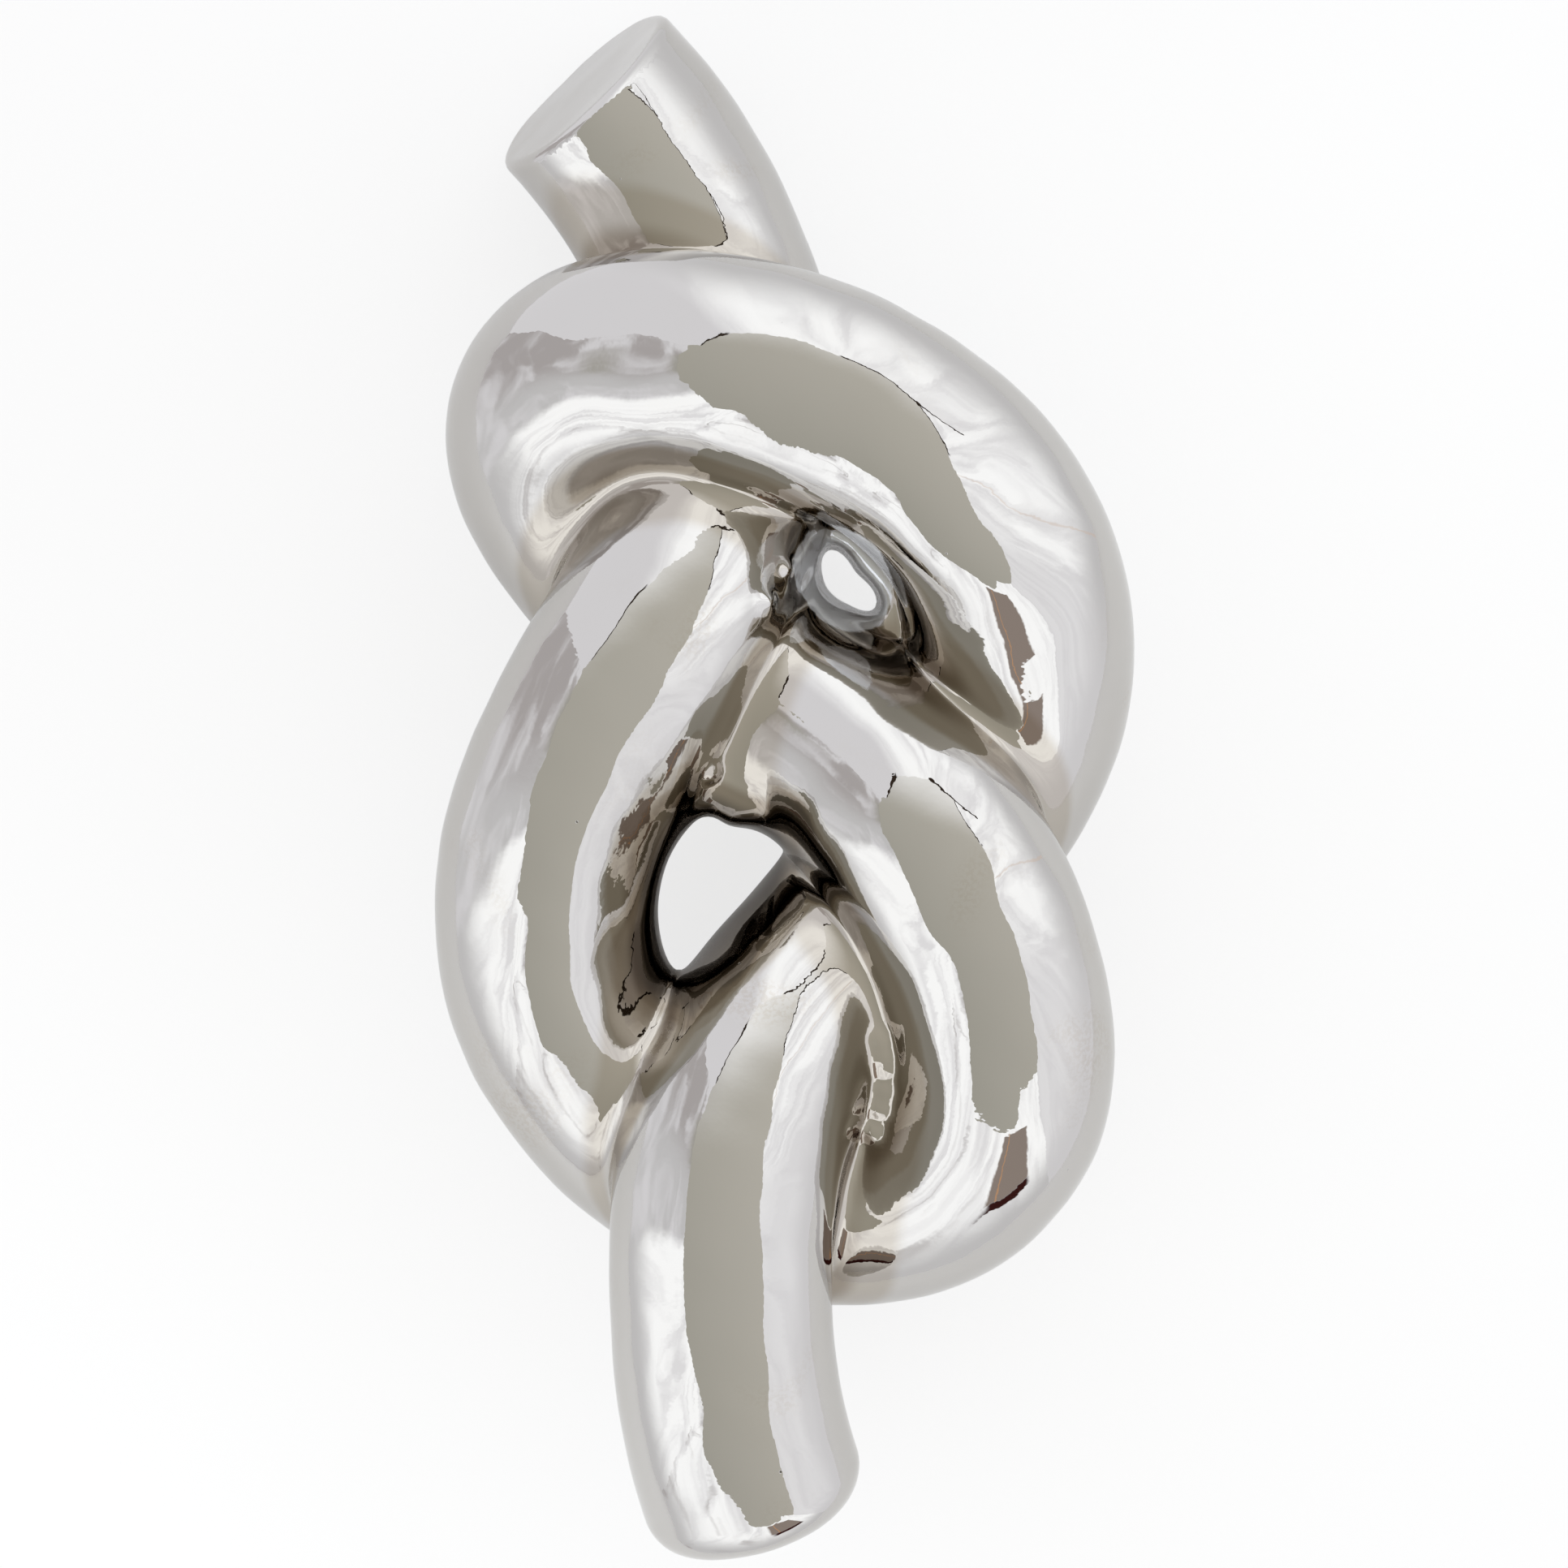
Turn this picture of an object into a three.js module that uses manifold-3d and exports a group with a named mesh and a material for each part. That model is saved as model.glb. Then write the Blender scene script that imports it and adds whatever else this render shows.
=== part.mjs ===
// Knot ornament: one thick round strand in a four-crossing knot, cast in hollow ceramic sections.
// Five sections meet end to end under the crossings. Slip closes the joints and the creases.
// Millimetres, +Z up. The knot lies flat: +Y runs from the bottom tail to the top tail.
// Origin: middle of the outline, on the surface that the felt pads rest on.
import * as THREE from 'three';
import { NURBSCurve } from 'three/addons/curves/NURBSCurve.js';
import { mergeVertices } from 'three/addons/utils/BufferGeometryUtils.js';
import Module from 'manifold-3d';

// Strand
const STRAND_DIAMETER = 57.5;
const SLENDERNESS_RATIO = 19.26;
const WALL = 6;
const STRAND_SIDES = 18;
const BORE_SIDES = 9;
const RING_SPACING = 12;
const CLEARANCE = 0.3;

// Control points of the strand's centreline, from the top tail to the bottom tail, as drawn.
// X and Y are plan positions, the third value is the rise above a strand that lies on its pads.
// The drawing is enlarged or reduced until its length is SLENDERNESS_RATIO times the strand's thickness,
// so a thicker strand makes a larger knot. Places along the strand and between its turns go with it.
const CENTRELINE = [
  [-49, 179, 4],
  [-40, 170, 0],
  [-26, 149, 2],
  [-13, 116, -3],
  [-13, 80, 17],
  [-27, 48, 37],
  [-49, 16, 43],
  [-64, -20, 38],
  [-62, -57, 25],
  [-41, -89, 8],
  [-4, -110, -3],
  [36, -111, 5],
  [61, -87, 26],
  [56, -46, 40],
  [37, -11, 42],
  [11, 14, 22],
  [-19, 35, 0],
  [-47, 61, -2],
  [-68, 94, 17],
  [-45, 115, 44],
  [0, 106, 54],
  [39, 88, 51],
  [63, 56, 40],
  [65, 18, 7],
  [45, -14, -4],
  [18, -42, 8],
  [-6, -67, 30],
  [-17, -101, 43],
  [-17, -138, 42],
  [-15, -164, 40],
  [-9, -181, 34],
];

// Places along the centreline as drawn, measured from the top tail's end
const UPPER_JOINT_AT = 82;
const LOWER_JOINT_AT = 330;
const MIDDLE_JOINT_AT = 589;
const RIGHT_JOINT_AT = 930;
const CROSSINGS = {
  upper: { under: 81, over: 728 },
  middle: { under: 601, over: 154 },
  right: { under: 916, over: 497 },
  lower: { under: 336, over: 1027 },
};
const PADS_AT = [59, 352, 609, 909];

// Where two neighbouring sections run side by side, each gives way on its own side of a line
const UPPER_PAIR_Y = 76;
const LOWER_PAIR_Y = -60;

// Slip at the joints and in the creases
const SLIP_THICKNESS = 1;
const BEAD_RADIUS = 7;
const BEAD_SIDES = 8;
const CREASE_POINTS = 20;
const CREASE_STEPS = 28;
const CREASE_REACH = 60;

// Ends
const TOP_DISC_THICKNESS = 6;
const TOP_RIM_RADIUS = 2.5;
const BOTTOM_RIM_RADIUS = 11;
const BOTTOM_CAP_SKIRT = 1;
const RIM_STEPS = 5;

// Webs between the strands, and the two eyes that go right through, which are ovals with three soft corners.
// Bottom and top are rises, as on the centreline. Corners is how far the corners stand out, lean where they are.
const WEB_SIDES = 28;
const UPPER_WEB = { x: 18, y: 50, radius: 24, bottom: 7, top: 31 };
const LOWER_WEB = { x: -21, y: -1, radius: 16, bottom: 9, top: 39 };
const WEDGE = { x: 25, y: -72, radius: 13, bottom: 11, top: 35 };
const SMALL_EYE = { x: 17, y: 52.5, width: 11, length: 20, turn: 0.68, corners: 0.12, lean: 1.09 };
const LARGE_EYE = { x: -20.5, y: -27.5, width: 25, length: 44, turn: -0.39, corners: 0.16, lean: 0.53 };

// Feet: the underside is ground flat where it stands on felt
const FOOT_DEPTH = 1;
const PAD_DIAMETER = 12;
const PAD_THICKNESS = 2.5;
const PAD_SIDES = 24;

// Numerical settings
const MERGE_DISTANCE = 1e-4;
const LENGTH_DIVISIONS = 1500;
const BISECTIONS = 24;
const SAMPLE_SPACING = 2;

const strandRadius = STRAND_DIAMETER / 2;
const boreRadius = strandRadius - WALL;
const grownRadius = strandRadius + CLEARANCE;
const footLevel = PAD_THICKNESS + CLEARANCE;
const lowCentre = footLevel + strandRadius - FOOT_DEPTH;
const bottomCapDepth = BOTTOM_RIM_RADIUS + BOTTOM_CAP_SKIRT;

const wasm = await Module();
wasm.setup();

const lustre = () => new THREE.MeshStandardMaterial({ color: 0xc4bfb7, roughness: 0.05, metalness: 1 });
const slip = () => new THREE.MeshStandardMaterial({ color: 0xd8cfc0, roughness: 0.8, metalness: 0 });
const felt = () => new THREE.MeshStandardMaterial({ color: 0x4a443e, roughness: 1, metalness: 0 });

const knot = new THREE.Group();

function addPiece(name, geometry, material) {
  const mesh = new THREE.Mesh(geometry, material);
  mesh.name = name;
  knot.add(mesh);
  return mesh;
}

// Solids for joining and cutting

function solidOf(geometry) {
  const bare = geometry.clone();
  bare.deleteAttribute('normal');
  bare.deleteAttribute('uv');
  const merged = mergeVertices(bare, MERGE_DISTANCE);
  const corners = merged.index.array;
  const triangles = [];
  for (let i = 0; i < corners.length; i += 3) {
    const [a, b, c] = corners.slice(i, i + 3);
    if (a !== b && b !== c && c !== a) triangles.push(a, b, c);
  }
  return new wasm.Manifold(new wasm.Mesh({
    numProp: 3,
    vertProperties: new Float32Array(merged.attributes.position.array),
    triVerts: new Uint32Array(triangles),
  }));
}

function geometryOf(solid) {
  const mesh = solid.getMesh();
  const geometry = new THREE.BufferGeometry();
  geometry.setAttribute('position', new THREE.BufferAttribute(mesh.vertProperties, 3));
  geometry.setIndex(new THREE.BufferAttribute(mesh.triVerts, 1));
  geometry.computeVertexNormals();
  return geometry;
}

function largestBody(solid) {
  const bodies = solid.decompose();
  bodies.sort((a, b) => b.volume() - a.volume());
  return bodies[0];
}

// Centreline

function strandCurve(enlarged) {
  const degree = 3;
  const spans = CENTRELINE.length - degree;
  const knots = Array(degree).fill(0);
  for (let i = 0; i <= spans; i += 1) knots.push(i);
  knots.push(...Array(degree).fill(spans));
  const points = CENTRELINE.map(([x, y, rise]) => (
    new THREE.Vector4(enlarged * x, enlarged * y, lowCentre + enlarged * rise, 1)
  ));
  const curve = new NURBSCurve(degree, knots, points);
  curve.arcLengthDivisions = LENGTH_DIVISIONS;
  return curve;
}

const lay = (SLENDERNESS_RATIO * STRAND_DIAMETER) / strandCurve(1).getLength();
const strand = strandCurve(lay);
const strandLength = strand.getLength();
const pointAt = (station) => strand.getPointAt(station / strandLength);
const tangentAt = (station) => strand.getTangentAt(station / strandLength);

class StrandRun extends THREE.Curve {
  constructor(from, to) {
    super();
    this.from = from;
    this.to = to;
  }

  getPoint(t, target = new THREE.Vector3()) {
    return target.copy(pointAt(this.from + (this.to - this.from) * t));
  }
}

// Sweeps

function circlePoints(radius, sides) {
  const points = [];
  for (let i = 0; i < sides; i += 1) {
    const angle = (2 * Math.PI * i) / sides;
    points.push(new THREE.Vector2(radius * Math.cos(angle), radius * Math.sin(angle)));
  }
  return points;
}

function sweepRun({ from, to }, outerRadius, innerRadius = 0) {
  const section = new THREE.Shape(circlePoints(outerRadius, STRAND_SIDES));
  if (innerRadius > 0) section.holes.push(new THREE.Path(circlePoints(innerRadius, BORE_SIDES)));
  const steps = Math.max(1, Math.round((to - from) / RING_SPACING));
  return new THREE.ExtrudeGeometry(section, { steps, bevelEnabled: false, extrudePath: new StrandRun(from, to) });
}

// Runs of the five sections and of the slip rings between them
const joints = {
  slip_joint_upper: lay * UPPER_JOINT_AT,
  slip_joint_lower: lay * LOWER_JOINT_AT,
  slip_joint_middle: lay * MIDDLE_JOINT_AT,
  slip_joint_right: lay * RIGHT_JOINT_AT,
};
const halfSlip = SLIP_THICKNESS / 2;
const afterJoint = (station) => station + halfSlip + CLEARANCE;
const beforeJoint = (station) => station - halfSlip - CLEARANCE;
const slipRun = (station) => ({ from: station - halfSlip, to: station + halfSlip });
const runs = {
  top_tail: { from: 0, to: beforeJoint(joints.slip_joint_upper) },
  left_bight: { from: afterJoint(joints.slip_joint_upper), to: beforeJoint(joints.slip_joint_lower) },
  right_bight: { from: afterJoint(joints.slip_joint_lower), to: beforeJoint(joints.slip_joint_middle) },
  upper_bight: { from: afterJoint(joints.slip_joint_middle), to: beforeJoint(joints.slip_joint_right) },
  bottom_tail: { from: afterJoint(joints.slip_joint_right), to: strandLength },
};

// The room that each section, and each joint, takes up with clearance round it
const roundSidesFactor = 1 / Math.cos(Math.PI / STRAND_SIDES);
const room = {};
for (const [name, run] of Object.entries(runs)) room[name] = solidOf(sweepRun(run, grownRadius));
for (const [name, station] of Object.entries(joints)) {
  const widerRun = { from: beforeJoint(station) - CLEARANCE, to: afterJoint(station) + CLEARANCE };
  room[name] = solidOf(sweepRun(widerRun, grownRadius * roundSidesFactor));
}
const strandRoom = Object.values(room).reduce((sum, solid) => sum.add(solid));

// Everything below a level, or on one side of a line across the plan
const BLOCK_SIZE = 3 * strandLength;

function blockBelow(level) {
  const block = new THREE.BoxGeometry(BLOCK_SIZE, BLOCK_SIZE, BLOCK_SIZE);
  return solidOf(block.translate(0, 0, level - BLOCK_SIZE / 2));
}

function blockBeyond(y, direction) {
  const block = new THREE.BoxGeometry(BLOCK_SIZE, BLOCK_SIZE, BLOCK_SIZE);
  const nearFace = lay * y - (direction * CLEARANCE) / 2;
  return solidOf(block.translate(0, nearFace + (direction * BLOCK_SIZE) / 2, 0));
}

const ground = blockBelow(footLevel);

// The upper strand of each crossing is notched to sit over the lower one
const notches = {
  top_tail: [],
  left_bight: [
    room.right_bight,
    room.slip_joint_middle,
    room.upper_bight.intersect(blockBeyond(UPPER_PAIR_Y, -1)),
  ],
  right_bight: [
    room.upper_bight,
    room.slip_joint_right,
    room.bottom_tail.intersect(blockBeyond(LOWER_PAIR_Y, 1)),
  ],
  upper_bight: [
    room.top_tail,
    room.slip_joint_upper,
    room.left_bight.intersect(blockBeyond(UPPER_PAIR_Y, 1)),
  ],
  bottom_tail: [
    room.left_bight,
    room.slip_joint_lower,
    room.right_bight.intersect(blockBeyond(LOWER_PAIR_Y, -1)),
  ],
};

for (const [name, run] of Object.entries(runs)) {
  let section = solidOf(sweepRun(run, strandRadius, boreRadius)).subtract(ground);
  for (const notch of notches[name]) section = section.subtract(notch);
  addPiece(name, geometryOf(largestBody(section)), lustre());
}

for (const [name, station] of Object.entries(joints)) {
  const ring = solidOf(sweepRun(slipRun(station), strandRadius, boreRadius)).subtract(ground);
  addPiece(name, geometryOf(ring), slip());
}

// Beads of slip in the creases

function samplesAround(station) {
  const points = [];
  const reach = lay * CREASE_REACH;
  for (let s = station - reach; s <= station + reach; s += SAMPLE_SPACING) {
    points.push(pointAt(Math.min(Math.max(s, 0), strandLength)));
  }
  return points;
}

function surfaceHeights(points, x, y, side) {
  const heights = [];
  for (const point of points) {
    const inside = strandRadius ** 2 - (point.x - x) ** 2 - (point.y - y) ** 2;
    if (inside > 0) heights.push(point.z + side * Math.sqrt(inside));
  }
  return heights;
}

function creaseCurve({ under, over }) {
  const lower = samplesAround(lay * under);
  const upper = samplesAround(lay * over);
  const centre = pointAt(lay * under).add(pointAt(lay * over)).multiplyScalar(0.5);
  const points = [];
  for (let i = 0; i < CREASE_POINTS; i += 1) {
    const angle = (2 * Math.PI * i) / CREASE_POINTS;
    let inner = 0;
    let outer = STRAND_DIAMETER;
    let level = centre.z;
    for (let k = 0; k < BISECTIONS; k += 1) {
      const middle = (inner + outer) / 2;
      const x = centre.x + middle * Math.cos(angle);
      const y = centre.y + middle * Math.sin(angle);
      const top = Math.max(...surfaceHeights(lower, x, y, 1));
      const bottom = Math.min(...surfaceHeights(upper, x, y, -1));
      if (top > bottom) {
        inner = middle;
        level = (top + bottom) / 2;
      } else {
        outer = middle;
      }
    }
    points.push(new THREE.Vector3(
      centre.x + inner * Math.cos(angle),
      centre.y + inner * Math.sin(angle),
      level,
    ));
  }
  return new THREE.CatmullRomCurve3(points, true);
}

function beadTube(crossing, radius) {
  return solidOf(new THREE.TubeGeometry(creaseCurve(crossing), CREASE_STEPS, radius, BEAD_SIDES, true));
}

for (const [place, crossing] of Object.entries(CROSSINGS)) {
  const bead = beadTube(crossing, BEAD_RADIUS).subtract(strandRoom);
  addPiece(`fillet_${place}`, geometryOf(largestBody(bead)), lustre());
}

// Webs and the slip wedge, round the eyes

function uprightPost({ x, y, radius, bottom, top }) {
  const outline = new THREE.Shape(circlePoints(lay * radius, WEB_SIDES));
  const post = new THREE.ExtrudeGeometry(outline, { depth: lay * (top - bottom), bevelEnabled: false });
  return solidOf(post.translate(lay * x, lay * y, lowCentre + lay * bottom));
}

function eyePost({ x, y, width, length, turn, corners, lean }) {
  const size = new THREE.Vector2(lay * width, lay * length);
  const outline = circlePoints(0.5, WEB_SIDES).map((point) => {
    const swell = 1 + corners * Math.cos(3 * (point.angle() - lean));
    return point.multiply(size).multiplyScalar(swell);
  });
  const post = new THREE.ExtrudeGeometry(new THREE.Shape(outline), { depth: strandLength, bevelEnabled: false });
  return solidOf(post.rotateZ(turn).translate(lay * x, lay * y, -strandLength / 2));
}

const smallEye = eyePost(SMALL_EYE);
const largeEye = eyePost(LARGE_EYE);
const beadRoom = Object.values(CROSSINGS)
  .map((crossing) => beadTube(crossing, BEAD_RADIUS + CLEARANCE))
  .reduce((sum, solid) => sum.add(solid));
const taken = strandRoom.add(beadRoom).add(smallEye).add(largeEye);
const fills = { upper_web: UPPER_WEB, lower_web: LOWER_WEB, slip_wedge: WEDGE };
for (const [name, blank] of Object.entries(fills)) {
  addPiece(name, geometryOf(largestBody(uprightPost(blank).subtract(taken))), lustre());
}

// Ends, turned about the strand's axis and set square to it.
// Their profiles start on the axis at the inner side, and go round the rim to the outer face.

function rimProfile(rimRadius, thickness) {
  const points = [];
  for (let i = 0; i <= RIM_STEPS; i += 1) {
    const angle = (Math.PI / 2) * (i / RIM_STEPS);
    const across = strandRadius - rimRadius + rimRadius * Math.cos(angle);
    points.push(new THREE.Vector2(across, thickness - rimRadius + rimRadius * Math.sin(angle)));
  }
  return points;
}

function topDiscProfile() {
  return [
    new THREE.Vector2(0, 0),
    new THREE.Vector2(strandRadius, 0),
    ...rimProfile(TOP_RIM_RADIUS, TOP_DISC_THICKNESS),
    new THREE.Vector2(0, TOP_DISC_THICKNESS),
  ];
}

function bottomCapProfile() {
  const depth = bottomCapDepth - WALL;
  return [
    new THREE.Vector2(0, depth),
    new THREE.Vector2(boreRadius - depth, depth),
    new THREE.Vector2(boreRadius, 0),
    new THREE.Vector2(strandRadius, 0),
    ...rimProfile(BOTTOM_RIM_RADIUS, bottomCapDepth),
    new THREE.Vector2(0, bottomCapDepth),
  ];
}

function addEnd(name, profile, station, outward) {
  const geometry = geometryOf(solidOf(new THREE.LatheGeometry(profile, STRAND_SIDES)));
  const end = addPiece(name, geometry, lustre());
  end.position.copy(pointAt(station)).addScaledVector(outward, CLEARANCE);
  end.quaternion.setFromUnitVectors(new THREE.Vector3(0, 1, 0), outward);
}

addEnd('top_end_disc', topDiscProfile(), 0, tangentAt(0).negate());
addEnd('bottom_end_cap', bottomCapProfile(), strandLength, tangentAt(strandLength));

// Felt pads under the ground flats

PADS_AT.forEach((station, i) => {
  const pad = new THREE.CylinderGeometry(PAD_DIAMETER / 2, PAD_DIAMETER / 2, PAD_THICKNESS, PAD_SIDES);
  const mesh = addPiece(`felt_pad_${i + 1}`, geometryOf(solidOf(pad.rotateX(Math.PI / 2))), felt());
  const place = pointAt(lay * station);
  mesh.position.set(place.x, place.y, PAD_THICKNESS / 2);
});

export default knot;
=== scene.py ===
"""Knot ornament in mirror-bright lustre: the looks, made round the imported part.

One smooth surface is made for the whole knot, then parted where the real pieces meet: five cast sections, the
slip in the creases, the webs between the strands and the two ends. Lengths are in millimetres until a mesh is
made. X points right, Y from the bottom tail to the top tail, Z up.
"""
import math

import bpy
import numpy as np
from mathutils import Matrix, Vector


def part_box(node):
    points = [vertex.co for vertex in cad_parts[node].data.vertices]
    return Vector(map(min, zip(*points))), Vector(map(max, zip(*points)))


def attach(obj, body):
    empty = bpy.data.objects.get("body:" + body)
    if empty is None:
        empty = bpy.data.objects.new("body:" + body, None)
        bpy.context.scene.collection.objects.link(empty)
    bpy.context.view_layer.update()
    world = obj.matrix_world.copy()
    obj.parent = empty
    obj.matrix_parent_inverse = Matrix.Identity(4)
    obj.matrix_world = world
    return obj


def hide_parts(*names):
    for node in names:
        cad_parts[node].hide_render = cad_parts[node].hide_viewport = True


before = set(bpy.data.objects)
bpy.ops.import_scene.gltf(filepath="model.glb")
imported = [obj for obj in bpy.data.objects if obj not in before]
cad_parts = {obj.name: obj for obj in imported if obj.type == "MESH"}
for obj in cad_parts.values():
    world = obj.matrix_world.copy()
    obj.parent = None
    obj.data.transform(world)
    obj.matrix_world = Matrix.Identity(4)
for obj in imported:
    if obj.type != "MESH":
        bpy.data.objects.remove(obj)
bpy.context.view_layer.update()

import openvdb

MM = 0.001
SEED = 11

# Strand, with the same sizes and the same centreline as the part
STRAND_RADIUS = 28.75
FOOT_LEVEL = 2.8
FOOT_DEPTH = 1.0
LOW_CENTRE = FOOT_LEVEL + STRAND_RADIUS - FOOT_DEPTH
CENTRELINE = [
    (-49, 179, 4), (-40, 170, 0), (-26, 149, 2), (-13, 116, -3), (-13, 80, 17),
    (-27, 48, 37), (-49, 16, 43), (-64, -20, 38), (-62, -57, 25), (-41, -89, 8),
    (-4, -110, -3), (36, -111, 5), (61, -87, 26), (56, -46, 40), (37, -11, 42),
    (11, 14, 22), (-19, 35, 0), (-47, 61, -2), (-68, 94, 17), (-45, 115, 44),
    (0, 106, 54), (39, 88, 51), (63, 56, 40), (65, 18, 7), (45, -14, -4),
    (18, -42, 8), (-6, -67, 30), (-17, -101, 43), (-17, -138, 42), (-15, -164, 40),
    (-9, -181, 34),
]
SECTIONS = {
    "top_tail": (0, 82),
    "left_bight": (82, 330),
    "right_bight": (330, 589),
    "upper_bight": (589, 930),
    "bottom_tail": (930, 1107.4),
}
CROSSINGS = {
    "fillet_upper": (81, 728),
    "fillet_middle": (601, 154),
    "fillet_right": (916, 497),
    "fillet_lower": (336, 1027),
}
JOINTS = {"slip_joint_upper": 82, "slip_joint_lower": 330, "slip_joint_middle": 589, "slip_joint_right": 930}
FELT_PADS = ["felt_pad_1", "felt_pad_2", "felt_pad_3", "felt_pad_4"]

# Ends: the flat face lies this far beyond the centreline's end
TOP_FACE_BEYOND = 6.3
TOP_RIM_RADIUS = 2.5
BOTTOM_FACE_BEYOND = 12.3
BOTTOM_RIM_RADIUS = 11.0
END_REACH = 42.0

# Webs between the strands, with rises measured from the centre of a strand that lies on its pads, and the
# eyes that go through two of them
WEBS = {
    "upper_web": {"centre": (18, 50, 13), "radius": 24, "half_height": 6},
    "lower_web": {"centre": (-21, -1, 24), "radius": 16, "half_height": 15},
    "slip_wedge": {"centre": (25, -72, 20), "radius": 13, "half_height": 12},
}
WEDGE_MEETS = (437, 976)
WEB_EDGE = 6.0
EYES = {
    "upper_web": {
        "centre": (15.2, 52.1), "half_width": 8.5, "half_length": 12.7, "turn": 0.68,
        "corners": 0.12, "lean": 1.09, "lip": 5.0,
    },
    "lower_web": {
        "centre": (-20.5, -27.5), "half_width": 12.5, "half_length": 22, "turn": -0.39,
        "corners": 0.16, "lean": 0.53, "lip": 6.0,
    },
}

# A raised rim round the small eye: half its thickness, how far out from the eye's edge its middle runs, its
# top, and how softly it joins the web
RIM_HALF = 3.2
RIM_OUT = 2.0
RIM_TOP = 27.0
RIM_BLEND = 2.0

# Places where hands pressed the clay in, or out where the depth is below zero: where, how deep and how wide
PRESSED = [
    ((-42, 113, 97), 4.0, 16.0),
    ((-4, 106, 111), 1.3, 14.0),
    ((18, 97, 112), 1.6, 14.0),
    ((42, 105, 103), 1.7, 12.0),
    ((54, 91, 101), 1.7, 12.0),
    ((64, 75, 97), 1.7, 12.0),
    ((30, 73, 104), -1.7, 11.0),
    ((42, 58, 101), -1.7, 11.0),
    ((66, 34, 88), 1.6, 10.0),
    ((14, 8, 84), 2.5, 14.0),
    ((-31, 4, 92), 2.2, 9.0),
    ((-39, -14, 90), 2.4, 9.0),
    ((-42, -28, 87), 2.4, 9.0),
    ((-42, -44, 81), 2.4, 9.0),
    ((-38, -55, 75), 2.0, 9.0),
    ((-33, -64, 69), 1.6, 9.0),
]

# Lumps and drips of slip that stayed in the creases: plan position and radius. Each is sunk into the surface
# there by a share of its radius.
LUMPS = [
    (-19.4, 3.2, 2.0), (-5.2, 47.2, 2.2), (0.0, 56.0, 1.8),
    (24.0, -66.0, 2.0), (25.0, -70.0, 2.4), (26.2, -73.5, 2.0),
    (26.0, -79.0, 2.1), (25.2, -84.0, 1.9), (23.4, -90.0, 2.0),
]
LUMP_SINK = 0.6
LUMP_BLEND = 1.2
LUMP_SEARCH_TOP = 120.0
LUMP_SEARCH_STEP = 0.25

# Hand-made unevenness: waves in all directions, the long ones higher
RIPPLE_SHORTEST = 11.0
RIPPLE_LONGEST = 70.0
RIPPLE_WAVES = 96
RIPPLE_SLOPE = 0.025

# How softly one surface runs into the next
BLEND = 3.2
WEB_BLEND = 4.0
FOOT_EDGE = 2.5

# Mesh: spacing of the centreline's samples, cells of the grid, points worked on at a time, and the shell's
# thickness
STEPS_PER_SPAN = 200
SAMPLE_SPACING = 4.0
CELL = 1.4
COARSE_CELLS = 4
MARGIN_CELLS = 3
NEAR_COARSE_CELLS = 1.2
NEAR_CELLS = 2
PROJECTIONS = 2
SLOPE_STEP = 0.02
CHUNK = 6000
SHELL = 2.2
CUT_MARGIN = 0.05

# Tiny values that keep the last sample in the last span, and keep roots and divisions away from zero
JUST_INSIDE = 1e-9
TINY = 1e-6
LEAST_SQUARED_GAP = 1e-12
LEAST_NORMAL = 1e-9
LEAST_FLAT = 0.0001

# How far out from the surface its hollows are felt for, for the painted shade in them, and how far round the
# large eye the painted shade of its throat reaches, and how strong that is
HOLLOW_REACHES = (8.0, 18.0, 30.0)
THROAT_SHADE_REACH = 17.0
THROAT_SHADE_STRENGTH = 1.4

# Slip on the inside of the joints: its section, how uneven it is, and how far it strays along the strand
SLIP_OUTER_RADIUS = 26.2
SLIP_DEPTH = 2.0
SLIP_WIDTH = 1.6
SLIP_UNEVEN = 0.2
SLIP_UNEVEN_WAVES = 9
SLIP_STRAY = 0.5
SLIP_STRAY_WAVES = 5
RING_STEPS = 160
RING_SIDES = 14

# Fewest waves round a circle in the unevenness of slip and felt
FEWEST_WAVES = 2

# Felt dots under the feet: rounded edge, rings of points on the flat faces, and an uneven rim
FELT_EDGE = 0.7
FELT_EDGE_STEPS = 5
FELT_FLAT_FROM = 0.12
FELT_FLAT_TO = 0.88
FELT_FLAT_STEPS = 6
FELT_FLUFF = 0.06
FELT_RIM_UNEVEN = 0.012
FELT_RIM_WAVES = 8
FELT_SIDES = 64

# Finish: the lustre's reflectance, its darker colours painted as shade in hollows and round the large eye's
# throat, and the pale glaze that it leaves bare round the small eye
LUSTRE_COOL = (0.555, 0.54, 0.525, 1)
LUSTRE_WARM = (0.545, 0.525, 0.50, 1)
LUSTRE_THIN = (0.44, 0.39, 0.33, 1)
# Painted shade: the lustre's colours in hollows, from faint to deep, and round the large eye's throat
LUSTRE_SHADED = (0.455, 0.42, 0.375, 1)
LUSTRE_DEEP_SHADE = (0.30, 0.26, 0.215, 1)
LUSTRE_THROAT_SHADE = (0.17, 0.15, 0.13, 1)
SPECK = (0.05, 0.04, 0.03, 1)
GLAZE = (0.90, 0.92, 0.96, 1)
GLAZE_GLOSS = 0.4
# Brown of the glaze's smudges, also used as its painted shade
GLAZE_SMUDGE_AND_SHADE = (0.22, 0.18, 0.15, 1)
GLAZE_RING = {"centre": (15.3, 53.0), "half_width": 11.3, "half_length": 14.8, "turn": 0.68}
DIMPLE_HEIGHT = 0.03
PIT_DEPTH = 0.12

# Pattern of the lustre: scales are per metre, pairs are where a mix starts and where it is complete
CLOUD_SCALE = 22.0
GRAIN_SCALE = 900.0
THIN_IN_CLOUDS = (0.56, 0.72)
THIN_IN_GRAIN = (0.42, 0.6)
THIN_SHARE = 0.35
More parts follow.
